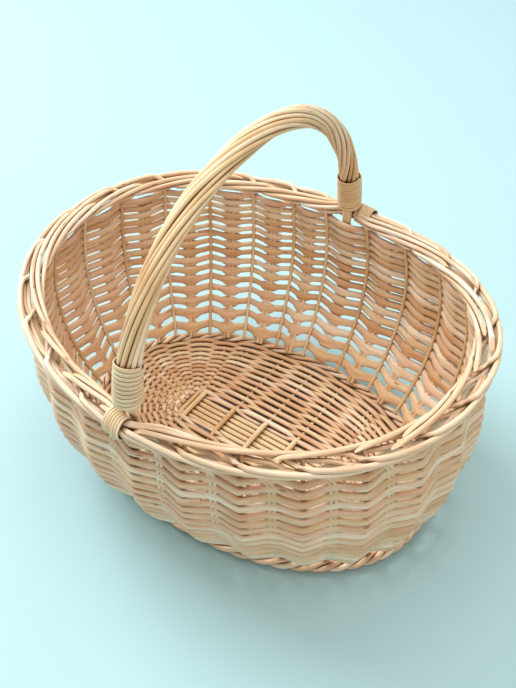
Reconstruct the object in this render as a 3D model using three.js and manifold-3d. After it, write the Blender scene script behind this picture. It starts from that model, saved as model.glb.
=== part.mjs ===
// Oval willow picnic basket with a fixed wrapped bow handle.
// Millimetres, +Z up. The origin is at the middle of the base, on the surface that the basket stands on.
// X runs along the basket, and the handle stands across it in the YZ plane.
import * as THREE from 'three';
import { mergeVertices } from 'three/addons/utils/BufferGeometryUtils.js';
import Module from 'manifold-3d';

const wasm = await Module();
wasm.setup();

// Rim and base, outside sizes
const rimLength = 400;
const rimWidth = 328;
const rimHeight = 179;
const rimEndRise = 14;
const rimRiseExponent = 1.6;
const baseLength = 348;
const baseWidth = 240;
const ovalExponent = 2.15;

// Side wall
const wallBelly = 11;
const wallTaperExponent = 2.5;
const weaverDiameter = 4.5;
const weaveSwing = 4.4;
const stakesPerRow = 25;
const backLegValley = 12;
const stakeCrowding = 15;
const crowdingExponent = 0.6;
const innerStakeDiameter = 4;
const innerStakeRibWidth = 9;
const outerStakeWidth = 9;
const outerStakeThickness = 4.4;
const closedStripWidth = 11;

// Border of rods that cross over each other, nipped in where a leg of the handle passes inside it
const borderRodCount = 4;
const borderRodDiameter = 5.6;
const borderReach = 6.85;
const borderLift = 4.2;
const borderTurns = 5;
const borderNipReach = 4.4;
const borderNipShift = 3.9;
const borderNipSpread = 14;

// Base
const baseThickness = 10;
const waleWidth = 12;
const waleCrown = 3;
const longRodCount = 5;
const longRodDiameter = 5.5;
const longRodEndMargin = 11.7;
const slathLength = 176;
const crossStickPlaces = [-35, 0, 35];
const doubleStickPlaces = [-74, 74];
const crossStickDiameter = 5.3;
const doubleStickSpread = 5.1;
const crossStickEndMargin = 8;

// Handle
const archRise = 145;
const archInset = 13;
const archExponent = 2.08;
const handleRodCount = 12;
const handleRodDiameter = 3.8;
const handleRodCircle = 15.2;
const handleTwistTurns = 1.6;
const legWidth = 9;
const legThickness = 4.4;
const legFootHeight = 60;
const frontWrapLift = 14;
const backWrapLift = 3;
const neckLift = 0.3;

// Bindings of split cane
const caneThickness = 1.3;
const collarCaneWidth = 2.7;
const collarPitch = 3.4;
const collarTurns = 9;
const lashingCaneWidth = 2.2;
const lashingPitch = 2.75;
const lashingTurns = 5.75;
const frontLashingStart = -1;
const backLashingStart = 6.9;
const lashingStartTurn = 0.5;
const lashingNotchLength = 110;

// Clearances between pieces that touch
const clearance = 0.3;
const bowClearance = 0.4;
const frontLegClearance = 1.75;
const backLegClearance = 0.95;
const bindingClearance = 0.65;

// Counts of facets
const archSteps = 24;
const archFineSteps = 160;
const rodSides = 5;
const bowSides = 8;
const stickSides = 8;
const borderSteps = 60;
const wallBands = [
  { name: 'wall_weave_lower', levels: [0, 0.12, 0.3] },
  { name: 'wall_weave_middle', levels: [0.3, 0.345, 0.575, 0.62], openSpan: 1 },
  { name: 'wall_weave_upper', levels: [0.62, 0.665, 0.92, 1], openSpan: 1 },
];
const stakeLevels = [...new Set(wallBands.flatMap((band) => band.levels))];
const ovalSegments = 64;
const turnSteps = 12;

const rimLine = {
  halfLength: rimLength / 2 - borderReach - borderRodDiameter / 2,
  halfWidth: rimWidth / 2 - borderReach - borderRodDiameter / 2,
};
const borderHalfHeight = borderLift + borderRodDiameter / 2;
const wallFoot = baseThickness + clearance;
const wallReach = weaveSwing + weaverDiameter / 2;

const group = new THREE.Group();

const finishes = {
  weave: new THREE.MeshStandardMaterial({ color: '#d8b388', roughness: 0.6, metalness: 0 }),
  stake: new THREE.MeshStandardMaterial({ color: '#cfa677', roughness: 0.6, metalness: 0 }),
  border: new THREE.MeshStandardMaterial({ color: '#dcb991', roughness: 0.55, metalness: 0 }),
  handle: new THREE.MeshStandardMaterial({ color: '#d6ad7c', roughness: 0.55, metalness: 0 }),
  cane: new THREE.MeshStandardMaterial({ color: '#d9cda8', roughness: 0.5, metalness: 0 }),
};

function addPart(name, geometry, material) {
  const mesh = new THREE.Mesh(geometry, material);
  mesh.name = name;
  group.add(mesh);
  return mesh;
}

// Turns a closed mesh into a solid that can be cut
function toSolid(geometry) {
  const bare = geometry.clone();
  bare.deleteAttribute('normal');
  bare.deleteAttribute('uv');
  const merged = mergeVertices(bare, 1e-4);
  return new wasm.Manifold(new wasm.Mesh({
    numProp: 3,
    vertProperties: new Float32Array(merged.attributes.position.array),
    triVerts: new Uint32Array(merged.index.array),
  }));
}

function toGeometry(solid) {
  const mesh = solid.getMesh();
  const geometry = new THREE.BufferGeometry();
  geometry.setAttribute('position', new THREE.BufferAttribute(new Float32Array(mesh.vertProperties), 3));
  geometry.setIndex(new THREE.BufferAttribute(new Uint32Array(mesh.triVerts), 1));
  return geometry;
}

function cut(geometry, tools) {
  let solid = toSolid(geometry);
  for (const tool of tools) solid = solid.subtract(toSolid(tool));
  return toGeometry(solid);
}

function boxAt(sizeX, sizeY, sizeZ, x, y, z) {
  return new THREE.BoxGeometry(sizeX, sizeY, sizeZ).translate(x, y, z);
}

// Joins rings of points into one closed surface: an open run gets two end caps, a loop gets none.
// A ring that goes up one face and down the other can leave a window at one span of its height.
function loft(rings, isLoop, windowSpan = () => null) {
  const count = rings[0].length;
  const positions = [];
  const index = [];
  const addQuad = (a, b, c, d) => index.push(a, b, c, a, c, d);
  for (const ring of rings) {
    for (const p of ring) positions.push(p.x, p.y, p.z);
  }
  const spans = isLoop ? rings.length : rings.length - 1;
  for (let i = 0; i < spans; i++) {
    const here = i * count;
    const next = ((i + 1) % rings.length) * count;
    const up = windowSpan(i);
    const down = up === null ? null : count - 2 - up;
    for (let j = 0; j < count; j++) {
      const k = (j + 1) % count;
      if (j !== up && j !== down) addQuad(here + j, here + k, next + k, next + j);
    }
    if (up !== null) {
      addQuad(here + up, here + up + 1, here + down, here + down + 1);
      addQuad(next + up + 1, next + up, next + down + 1, next + down);
      addQuad(here + up + 1, next + up + 1, next + down, here + down);
      addQuad(next + up, here + up, here + down + 1, next + down + 1);
    }
  }
  if (!isLoop) {
    const last = (rings.length - 1) * count;
    for (let j = 1; j < count - 1; j++) {
      index.push(0, j + 1, j);
      index.push(last, last + j, last + j + 1);
    }
  }
  const geometry = new THREE.BufferGeometry();
  geometry.setAttribute('position', new THREE.Float32BufferAttribute(positions, 3));
  geometry.setIndex(signedVolume(positions, index) < 0 ? index.reverse() : index);
  return geometry;
}

function signedVolume(positions, index) {
  const a = new THREE.Vector3();
  const b = new THREE.Vector3();
  const c = new THREE.Vector3();
  let volume = 0;
  for (let i = 0; i < index.length; i += 3) {
    a.fromArray(positions, index[i] * 3);
    b.fromArray(positions, index[i + 1] * 3);
    c.fromArray(positions, index[i + 2] * 3);
    volume += a.dot(b.cross(c));
  }
  return volume;
}

// Section points of a rod, as pairs of sideways and outward offsets
function roundSection(radius, sides) {
  const section = [];
  for (let j = 0; j < sides; j++) {
    const angle = ((j + 0.5) / sides) * Math.PI * 2;
    section.push([radius * Math.cos(angle), radius * Math.sin(angle)]);
  }
  return section;
}

function flatSection(width, thickness) {
  return [
    [-width / 2, -thickness / 2],
    [width / 2, -thickness / 2],
    [width / 2, thickness / 2],
    [-width / 2, thickness / 2],
  ];
}

function placeSection(section, centre, sideways, outward) {
  return section.map(([u, v]) => centre.clone().addScaledVector(sideways, u).addScaledVector(outward, v));
}

// Plan outline: a superellipse, with its outward normal
function ovalPoint(halfLength, halfWidth, angle) {
  const c = Math.cos(angle);
  const s = Math.sin(angle);
  const power = 2 / ovalExponent;
  return new THREE.Vector2(
    Math.sign(c) * halfLength * Math.abs(c) ** power,
    Math.sign(s) * halfWidth * Math.abs(s) ** power,
  );
}

function ovalNormal(halfLength, halfWidth, angle) {
  const p = ovalPoint(halfLength, halfWidth, angle);
  const power = ovalExponent - 1;
  return new THREE.Vector2(
    (Math.sign(p.x) * Math.abs(p.x / halfLength) ** power) / halfLength,
    (Math.sign(p.y) * Math.abs(p.y / halfWidth) ** power) / halfWidth,
  ).normalize();
}

// Angles round the rim line at even steps of length, from the front of the basket
const fineSteps = 2880;
const fineAngles = [];
const fineLengths = [0];
for (let i = 0; i <= fineSteps; i++) {
  fineAngles.push(-Math.PI / 2 + (i / fineSteps) * Math.PI * 2);
  if (i > 0) {
    const a = ovalPoint(rimLine.halfLength, rimLine.halfWidth, fineAngles[i - 1]);
    const b = ovalPoint(rimLine.halfLength, rimLine.halfWidth, fineAngles[i]);
    fineLengths.push(fineLengths[i - 1] + a.distanceTo(b));
  }
}
const rimPerimeter = fineLengths[fineSteps];

// Lengths round the rim line at which the wall's ridges stand: even as far as the back leg,
// and a little closer after it
function ridgeLength(ridge) {
  const firstCrowded = backLegValley + 1;
  const share = Math.max(ridge - firstCrowded, 0) / (stakesPerRow - firstCrowded);
  const shift = stakeCrowding * Math.sin(Math.PI * share ** crowdingExponent);
  return (ridge / stakesPerRow) * rimPerimeter - shift;
}

function valleyLength(valley) {
  return (ridgeLength(valley) + ridgeLength(valley + 1)) / 2;
}

function angleAtLength(length) {
  const wanted = ((length % rimPerimeter) + rimPerimeter) % rimPerimeter;
  let i = 1;
  while (fineLengths[i] < wanted) i++;
  const share = (wanted - fineLengths[i - 1]) / (fineLengths[i] - fineLengths[i - 1]);
  return fineAngles[i - 1] + share * (fineAngles[i] - fineAngles[i - 1]);
}

function rimTop(x) {
  return rimHeight + rimEndRise * Math.abs((2 * x) / rimLength) ** rimRiseExponent;
}

function wallTop(x) {
  return rimTop(x) - 2 * borderHalfHeight - clearance;
}

// Half sizes of the wall's outer ridges at a level from 0, the base, to 1, the border
function wallHalfSizes(level) {
  const taper = (1 - level) ** wallTaperExponent;
  const belly = wallBelly * 4 * level * (1 - level);
  return {
    halfLength: rimLine.halfLength - (rimLine.halfLength - baseLength / 2) * taper + belly,
    halfWidth: rimLine.halfWidth - (rimLine.halfWidth - baseWidth / 2) * taper + belly,
  };
}

// A point of the wall, by its offset from the middle of the weave
function wallPoint(angle, level, offset) {
  const { halfLength, halfWidth } = wallHalfSizes(level);
  const p = ovalPoint(halfLength, halfWidth, angle);
  const n = ovalNormal(halfLength, halfWidth, angle);
  const reach = offset - wallReach;
  const x = p.x + n.x * reach;
  const y = p.y + n.y * reach;
  const z = wallFoot + level * (wallTop(p.x) - wallFoot);
  return new THREE.Vector3(x, y, z);
}

// Base: woven oval plate with a slot for the long rods and grooves for the cross sticks
const baseInner = {
  halfLength: baseLength / 2 - waleWidth - clearance,
  halfWidth: baseWidth / 2 - waleWidth - clearance,
};
const longRodLength = 2 * (baseInner.halfLength - longRodEndMargin);
const slathWidth = longRodCount * (longRodDiameter + clearance) + clearance;
const crossStickHeight = longRodDiameter + 2 * clearance + crossStickDiameter / 2;
// The end sticks are two rods side by side
const crossSticks = [
  ...crossStickPlaces.map((x) => ({ x, spread: 0 })),
  ...doubleStickPlaces.map((x) => ({ x, spread: doubleStickSpread })),
].sort((a, b) => a.x - b.x);

function ovalShape(halfLength, halfWidth) {
  const points = [];
  for (let i = 0; i < ovalSegments; i++) {
    points.push(ovalPoint(halfLength, halfWidth, (i / ovalSegments) * Math.PI * 2));
  }
  return new THREE.Shape(points);
}

function crossStickHalfLength(x) {
  const share = Math.abs(x / baseInner.halfLength) ** ovalExponent;
  return baseInner.halfWidth * (1 - share) ** (1 / ovalExponent) - crossStickEndMargin;
}

function makeBaseWeave() {
  const plate = new THREE.ExtrudeGeometry(
    ovalShape(baseInner.halfLength, baseInner.halfWidth),
    { depth: baseThickness, bevelEnabled: false },
  );
  const rodHeight = longRodDiameter + 2 * clearance;
  const tools = [
    boxAt(longRodLength + 2 * clearance, slathWidth, rodHeight * 2, 0, 0, 0),
    boxAt(slathLength, slathWidth, baseThickness * 3, 0, 0, 0),
  ];
  for (const { x, spread } of crossSticks) {
    const length = 2 * crossStickHalfLength(x) + 2 * clearance;
    const width = crossStickDiameter + spread + 2 * clearance;
    const floor = crossStickHeight - crossStickDiameter / 2 - clearance;
    tools.push(boxAt(width, length, baseThickness, x, 0, floor + baseThickness / 2));
  }
  return cut(plate, tools);
}

function makeBase() {
  addPart('base_weave', makeBaseWeave(), finishes.weave);
  for (let i = 0; i < longRodCount; i++) {
    const y = (i - (longRodCount - 1) / 2) * (longRodDiameter + clearance);
    const radius = longRodDiameter / 2;
    const rod = new THREE.CylinderGeometry(radius, radius, longRodLength, stickSides)
      .rotateZ(Math.PI / 2)
      .translate(0, y, radius + clearance);
    addPart(`base_long_rod_${i + 1}`, rod, finishes.stake);
  }
  crossSticks.forEach(({ x, spread }, i) => {
    const halfLength = crossStickHalfLength(x);
    const section = roundSection(crossStickDiameter / 2, stickSides).map(([u, v]) => (
      [u + (Math.sign(u) * spread) / 2, v]
    ));
    const rings = [-halfLength, halfLength].map((y) => placeSection(
      section,
      new THREE.Vector3(x, y, crossStickHeight),
      new THREE.Vector3(1, 0, 0),
      new THREE.Vector3(0, 0, 1),
    ));
    addPart(`base_cross_stick_${i + 1}`, loft(rings, false), finishes.stake);
  });
}

// The wale: the thick ring of weaving round the base that the basket stands on
function makeWale() {
  const rings = [];
  const half = waleWidth / 2;
  const section = [
    [-half, 0],
    [half - waleCrown, 0],
    [half, waleCrown],
    [half, baseThickness - waleCrown],
    [half - waleCrown, baseThickness],
    [-half, baseThickness],
  ];
  for (let i = 0; i < ovalSegments; i++) {
    const angle = (i / ovalSegments) * Math.PI * 2;
    const p = ovalPoint(baseLength / 2, baseWidth / 2, angle);
    const n = ovalNormal(baseLength / 2, baseWidth / 2, angle);
    const centre = new THREE.Vector3(p.x - n.x * half, p.y - n.y * half, 0);
    rings.push(placeSection(section, centre, new THREE.Vector3(n.x, n.y, 0), new THREE.Vector3(0, 0, 1)));
  }
  addPart('upsett_wale', loft(rings, true), finishes.weave);
}

// Side wall: every row of weaving passes outside the thin inner stakes and inside the outer stakes,
// so the wall is ridged. Three bands of rows stand on each other, and the inner stakes are ribs of them.
// The two upper bands are open beside each inner stake, where light shows between the real rows.
// The front leg of the handle takes the place of the inner stake on the first ridge.
function makeWall() {
  const half = weaverDiameter / 2;
  const opensAfter = [1, 4];
  const columns = [];
  for (let i = 0; i < stakesPerRow; i++) {
    const period = ridgeLength(i + 1) - ridgeLength(i);
    const reaches = [0, innerStakeRibWidth / 2, (period - closedStripWidth) / 2, period / 2];
    const places = [...reaches, period - reaches[2], period - reaches[1]];
    places.forEach((along, place) => columns.push({
      ridge: i,
      place,
      middle: weaveSwing * (1 - (4 * Math.min(along, period - along)) / period),
      angle: angleAtLength(ridgeLength(i) + along),
    }));
  }
  const ribFace = weaveSwing - half - innerStakeDiameter;
  const bandRings = ({ levels, openSpan }, lift) => {
    const raised = (angle, level, offset) => {
      const point = wallPoint(angle, level, offset);
      if (level === levels[0]) point.z += lift;
      return point;
    };
    return columns.map(({ ridge, place, middle, angle }) => {
      const isRib = place === 0 && !(openSpan && ridge === 0);
      const inner = isRib ? ribFace : middle - half;
      const outside = levels.map((level) => raised(angle, level, middle + half));
      const inside = levels.map((level) => raised(angle, level, inner)).reverse();
      return [...outside, ...inside];
    });
  };
  const notchDepth = caneThickness + 2 * bindingClearance + clearance;
  const lashingWidth = lashingTurns * lashingPitch;
  const notches = [[-1, frontLashingStart], [1, backLashingStart]].map(([side, start]) => boxAt(
    lashingWidth + 2 * lashingCaneWidth,
    lashingNotchLength,
    notchDepth * 2,
    side * (start + lashingWidth / 2),
    side * (rimWidth / 2),
    wallTop(0),
  ));
  const lastBand = wallBands.length - 1;
  wallBands.forEach((band, i) => {
    const windowSpan = (ring) => (
      band.openSpan && opensAfter.includes(columns[ring].place) ? band.openSpan : null
    );
    const shell = loft(bandRings(band, i > 0 ? clearance : 0), true, windowSpan);
    addPart(band.name, i === lastBand ? cut(shell, notches) : shell, finishes.weave);
  });
}

// Section of an outer stake in half widths and half thicknesses: pointed where it lies in the valley
const outerStakeProfile = [[0, -1], [1, 0.3], [0.75, 1], [-0.75, 1], [-1, 0.3]];

// Outer stakes: a pair of rods side by side in each valley, but for the one that holds the back leg
function makeOuterStakes() {
  const halfWidth = outerStakeWidth / 2;
  const halfThickness = outerStakeThickness / 2;
  const section = outerStakeProfile.map(([u, v]) => [u * halfWidth, v * halfThickness]);
  const offset = -weaveSwing + weaverDiameter / 2 + clearance + halfThickness;
  let number = 0;
  for (let i = 0; i < stakesPerRow; i++) {
    if (i === backLegValley) continue;
    number += 1;
    const angle = angleAtLength(valleyLength(i));
    const rings = stakeLevels.map((level) => {
      const outline = wallHalfSizes(level);
      const n = ovalNormal(outline.halfLength, outline.halfWidth, angle);
      const outward = new THREE.Vector3(n.x, n.y, 0);
      const sideways = new THREE.Vector3(-n.y, n.x, 0);
      return placeSection(section, wallPoint(angle, level, offset), sideways, outward);
    });
    addPart(`outer_stake_${String(number).padStart(2, '0')}`, loft(rings, false), finishes.stake);
  }
}

// How far the border is nipped in and pushed out where a leg of the handle passes inside it
function borderNip(x) {
  return Math.exp(-((x / borderNipSpread) ** 2));
}

function borderCentre(angle) {
  const p = ovalPoint(rimLine.halfLength, rimLine.halfWidth, angle);
  const n = ovalNormal(rimLine.halfLength, rimLine.halfWidth, angle);
  const shift = borderNip(p.x) * borderNipShift;
  return {
    centre: new THREE.Vector3(p.x + n.x * shift, p.y + n.y * shift, rimTop(p.x) - borderHalfHeight),
    outward: new THREE.Vector3(n.x, n.y, 0),
    reach: borderReach + (borderNipReach - borderReach) * borderNip(p.x),
  };
}

function makeBorder() {
  const up = new THREE.Vector3(0, 0, 1);
  const section = roundSection(borderRodDiameter / 2, rodSides);
  for (let rod = 0; rod < borderRodCount; rod++) {
    const rings = [];
    for (let i = 0; i < borderSteps; i++) {
      const along = i / borderSteps;
      const { centre, outward, reach } = borderCentre(angleAtLength(along * rimPerimeter));
      const phase = (along * borderTurns + rod / borderRodCount) * Math.PI * 2;
      const middle = centre.clone()
        .addScaledVector(outward, reach * Math.cos(phase))
        .addScaledVector(up, borderLift * Math.sin(phase));
      rings.push(placeSection(section, middle, outward, up));
    }
    addPart(`border_strand_${rod + 1}`, loft(rings, true), finishes.border);
  }
}

// Handle: a bow whose ends are thinned into legs. The front one runs down inside a ridge of the wall,
// and the back one in a valley.
const bowRadius = handleRodCircle / 2 - handleRodDiameter / 2 - bowClearance;
const archHalfWidth = rimWidth / 2 - archInset;
const legDepth = weaveSwing - weaverDiameter / 2 - legThickness / 2;
const frontLegOffset = legDepth - frontLegClearance;
const backLegOffset = backLegClearance - legDepth;
const acrossHandle = new THREE.Vector3(1, 0, 0);

function archOutline() {
  const points = [];
  for (let i = 0; i <= archFineSteps; i++) {
    const angle = (i / archFineSteps) * Math.PI;
    const c = Math.cos(angle);
    const y = Math.sign(c) * archHalfWidth * Math.abs(c) ** (2 / archExponent);
    const z = rimHeight + archRise * Math.sin(angle) ** (2 / archExponent);
    const wrapLift = y > 0 ? frontWrapLift : backWrapLift;
    if (z >= rimHeight + wrapLift) points.push(new THREE.Vector3(0, -y, z));
  }
  return new THREE.CatmullRomCurve3(points);
}

const arch = archOutline();
const archLength = arch.getLength();

// Place on the arch at a length from its front foot, with the outward direction there
function archFrame(length) {
  const u = THREE.MathUtils.clamp(length / archLength, 0, 1);
  const centre = arch.getPointAt(u);
  const tangent = arch.getTangentAt(u);
  return { centre, outward: new THREE.Vector3().crossVectors(acrossHandle, tangent).normalize() };
}

function ovalSection(width, thickness, sides) {
  const section = [];
  for (let j = 0; j < sides; j++) {
    const turn = (j / sides) * Math.PI * 2;
    section.push([(width / 2) * Math.cos(turn), (thickness / 2) * Math.sin(turn)]);
  }
  return section;
}

// Rings of one leg, from its foot up to the neck above the border
function legRings(side, offset) {
  const angle = side * (Math.PI / 2);
  const outward = new THREE.Vector3(0, side, 0);
  const footLevel = (legFootHeight - wallFoot) / (wallTop(0) - wallFoot);
  const levels = [footLevel, ...stakeLevels.filter((level) => level > footLevel)];
  const centres = levels.map((level) => wallPoint(angle, level, offset));
  const neck = centres[centres.length - 1].clone();
  neck.z = rimHeight + neckLift;
  const section = ovalSection(legWidth, legThickness, bowSides);
  return [...centres, neck].map((centre) => placeSection(section, centre, acrossHandle, outward));
}

function makeBow() {
  const section = ovalSection(2 * bowRadius, 2 * bowRadius, bowSides);
  const rings = [...legRings(-1, frontLegOffset)];
  for (let i = 0; i <= archSteps; i++) {
    const { centre, outward } = archFrame((i / archSteps) * archLength);
    rings.push(placeSection(section, centre, acrossHandle, outward));
  }
  rings.push(...legRings(1, backLegOffset).reverse());
  addPart('handle_bow', loft(rings, false), finishes.handle);
}

// Directions away from the handle's middle and round it, at a turn from the basket's length
function roundHandle(outward, turn) {
  const c = Math.cos(turn);
  const s = Math.sin(turn);
  return {
    away: acrossHandle.clone().multiplyScalar(c).addScaledVector(outward, s),
    round: acrossHandle.clone().multiplyScalar(-s).addScaledVector(outward, c),
  };
}

function makeHandleRods() {
  const section = roundSection(handleRodDiameter / 2, rodSides);
  for (let rod = 0; rod < handleRodCount; rod++) {
    const rings = [];
    for (let i = 0; i <= archSteps; i++) {
      const share = i / archSteps;
      const { centre, outward } = archFrame(share * archLength);
      const turn = (rod / handleRodCount - share * handleTwistTurns) * Math.PI * 2;
      const { away, round } = roundHandle(outward, turn);
      const middle = centre.clone().addScaledVector(away, handleRodCircle / 2);
      rings.push(placeSection(section, middle, round, away));
    }
    addPart(`handle_rod_${String(rod + 1).padStart(2, '0')}`, loft(rings, false), finishes.handle);
  }
}

// A winding of flat cane: centres and outward directions go in, one unbroken strip comes out
function windStrip(points, width) {
  const section = flatSection(width, caneThickness);
  const rings = points.map(({ centre, outward }, i) => {
    const before = points[Math.max(i - 1, 0)].centre;
    const after = points[Math.min(i + 1, points.length - 1)].centre;
    const run = after.clone().sub(before).normalize();
    const sideways = new THREE.Vector3().crossVectors(run, outward).normalize();
    return placeSection(section, centre, sideways, outward);
  });
  return loft(rings, false);
}

// Straightens both ends of a winding for one strip width
function withStraightEnds(points, width) {
  const extend = (end, inner) => {
    const run = end.centre.clone().sub(inner.centre).normalize();
    return { centre: end.centre.clone().addScaledVector(run, width), outward: end.outward.clone() };
  };
  const last = points.length - 1;
  return [extend(points[0], points[1]), ...points, extend(points[last], points[last - 1])];
}

// Least gap between turns, measured between points across the strip's edges one turn apart
function leastGap(points, width) {
  let least = Infinity;
  for (let i = 0; i < points.length; i++) {
    for (let j = i + Math.round(turnSteps / 2); j < points.length; j++) {
      const apart = points[j].centre.clone().sub(points[i].centre);
      const outwardPart = Math.abs(apart.dot(points[i].outward));
      const sidePart = Math.sqrt(Math.max(apart.lengthSq() - outwardPart ** 2, 0));
      least = Math.min(least, Math.max(sidePart - width, outwardPart - caneThickness));
    }
  }
  return least;
}

function addWinding(name, turnPoints, width) {
  console.log(`${name}: least gap between turns ${leastGap(turnPoints, width).toFixed(2)} mm`);
  addPart(name, windStrip(withStraightEnds(turnPoints, width), width), finishes.cane);
}

// Collar: turns round the foot of the wrapped handle, just above the border
function makeCollar(name, side) {
  const radius = handleRodCircle / 2 + handleRodDiameter / 2 + bindingClearance + caneThickness / 2;
  const points = [];
  for (let i = 0; i <= collarTurns * turnSteps; i++) {
    const turns = i / turnSteps;
    const along = collarCaneWidth / 2 + turns * collarPitch;
    const { centre, outward } = archFrame(side < 0 ? along : archLength - along);
    const { away } = roundHandle(outward, side * turns * Math.PI * 2);
    const grown = radius / Math.cos(Math.PI / turnSteps);
    points.push({ centre: centre.clone().addScaledVector(away, grown), outward: away });
  }
  addWinding(name, points, collarCaneWidth);
}

// Lashing: turns round the border beside the leg, which tie the bow down
function makeLashing(name, side, start) {
  const up = new THREE.Vector3(0, 0, 1);
  const outward = new THREE.Vector3(0, side, 0);
  const points = [];
  for (let i = 0; i <= lashingTurns * turnSteps; i++) {
    const turns = i / turnSteps;
    const x = side * (start + turns * lashingPitch);
    const border = borderAt(x, side);
    const turn = (turns + lashingStartTurn) * Math.PI * 2;
    const grow = bindingClearance + caneThickness / 2;
    const halfReach = (border.reach + borderRodDiameter / 2 + grow) / Math.cos(Math.PI / turnSteps);
    const halfLift = (borderHalfHeight + grow) / Math.cos(Math.PI / turnSteps);
    const centre = border.centre.clone()
      .addScaledVector(outward, halfReach * Math.cos(turn))
      .addScaledVector(up, halfLift * Math.sin(turn));
    const away = outward.clone().multiplyScalar(Math.cos(turn) / halfReach)
      .addScaledVector(up, Math.sin(turn) / halfLift).normalize();
    points.push({ centre, outward: away });
  }
  addWinding(name, points, lashingCaneWidth);
}

function borderAt(x, side) {
  const share = Math.abs(x / rimLine.halfLength) ** ovalExponent;
  const sine = (1 - share) ** 0.5;
  const cosine = Math.sign(x) * share ** 0.5;
  return borderCentre(Math.atan2(side * sine, cosine));
}

makeBase();
makeWale();
makeWall();
makeOuterStakes();
makeBorder();
makeBow();
makeHandleRods();
makeCollar('front_collar_binding', -1);
makeCollar('back_collar_binding', 1);
makeLashing('front_lashing', -1, frontLashingStart);
makeLashing('back_lashing', 1, backLashingStart);

export default group;
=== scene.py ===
"""Looks of the willow picnic basket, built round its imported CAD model."""

import math
import random
from bisect import bisect_left

import bmesh
import bpy
from mathutils import Matrix, Vector, noise


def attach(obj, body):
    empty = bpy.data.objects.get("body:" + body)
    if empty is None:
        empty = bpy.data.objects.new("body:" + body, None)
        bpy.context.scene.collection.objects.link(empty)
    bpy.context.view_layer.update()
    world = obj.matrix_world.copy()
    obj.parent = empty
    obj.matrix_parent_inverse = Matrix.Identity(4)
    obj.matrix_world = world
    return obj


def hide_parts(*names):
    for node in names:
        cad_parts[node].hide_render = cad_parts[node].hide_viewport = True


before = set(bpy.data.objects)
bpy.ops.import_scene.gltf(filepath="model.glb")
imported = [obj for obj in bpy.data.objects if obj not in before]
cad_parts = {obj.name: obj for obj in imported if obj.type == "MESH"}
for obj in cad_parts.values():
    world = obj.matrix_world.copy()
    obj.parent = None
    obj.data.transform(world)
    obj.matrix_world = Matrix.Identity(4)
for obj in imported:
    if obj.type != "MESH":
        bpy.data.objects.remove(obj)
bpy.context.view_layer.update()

# Rim and base, outside sizes in metres, as in the CAD model
RIM_LENGTH = 0.400
RIM_WIDTH = 0.328
RIM_HEIGHT = 0.179
RIM_END_RISE = 0.014
RIM_RISE_EXPONENT = 1.6
BASE_LENGTH = 0.348
BASE_WIDTH = 0.240
OVAL_EXPONENT = 2.15
RIM_LINE_INSET = 0.00965

# Side wall
WALL_FOOT = 0.0103
WALL_BELLY = 0.011
WALL_TAPER_EXPONENT = 2.5
WALL_REACH = 0.00665
WALL_TOP_GAP = 0.0003
STAKES = 25
BACK_LEG_VALLEY = 12
STAKE_CROWDING = 0.015
CROWDING_EXPONENT = 0.6

# Rows of weaving. Levels run from 0 at the foot of the wall to 1 at its top
WEAVER_ROWS = 16
ROW_START = 0.52
ROW_MARGIN = 0.07
ROW_SPACING_EXPONENT = 0.87
WEAVE_SWING = 0.0030
WEAVER_THICKNESS = 0.0054
WEAVER_THICKNESS_AT_FOOT = 0.0034
FOOT_LEVELS = 0.5

# Thin inner stakes, and the pairs of stakes outside the weaving
INNER_STAKE_RADIUS = 0.0017
INNER_STAKE_OFFSET = 0.0002
INNER_STAKE_TOP = 1.04
PAIR_OFFSET = -0.0029
PAIR_ROD_WIDTH = 0.0036
PAIR_ROD_THICKNESS = 0.0030
PAIR_HALF_SPACING = 0.49 * PAIR_ROD_WIDTH
PAIR_LEAN_LEVEL = 0.87
PAIR_LEAN_RIDGES = 1.0

# Border: where its rods lie, across it and round it, from its middle line
BORDER_OUTER_REACH = 0.0067
BORDER_INNER_REACH = 0.0110
BORDER_LIFT = 0.0046
BORDER_EXPONENT = 2.7
BORDER_ROD_RADIUS = 0.0022
BORDER_HALF_HEIGHT = 0.007
BORDER_NIP_REACH = 0.0044
BORDER_NIP_SHIFT = 0.0039
BORDER_NIP_SPREAD = 0.016

# Wale round the edge of the base
WALE_WIDTH = 0.012
WALE_RODS = 3
WALE_TURNS = 19
WALE_ROD_WIDTH = 0.0046
WALE_INSET = 0.0054
WALE_REACH = 0.0030
WALE_MIDDLE = 0.0050
WALE_LIFT = 0.0026

# Base
LONG_ROD_RADIUS = 0.0027
LONG_ROD_SPACING = 0.0058
LONG_ROD_LIFT = 0.0004
STICK_PLACES = (-0.074, -0.035, 0.0, 0.035, 0.074)
DOUBLE_STICKS = (0, 4)
DOUBLE_STICK_SPREAD = 0.0051
STICK_RADIUS = 0.0024
STICK_GAP = 0.0006
STICK_END_GAP = 0.005
FAN_ORIGIN = 0.070
FAN_ROD_DEGREES = (-24, -12, 0, 12, 24)
FAN_SPOKE_DEGREES = (-74, -56, -39, 39, 56, 74)
FAN_SPOKE_WIDTH = 0.0042
SLATH_REACH = 0.0825
SLATH_HALF_REACH = 0.0168
SLATH_EXPONENT = 6.0
BASE_ROWS = 24
BASE_WEAVER_RADIUS = 0.0023
BASE_WEAVE_MIDDLE = 0.0054
BASE_WEAVE_SWING = 0.0022
BASE_WEAVE_GAP = 0.0012

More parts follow.
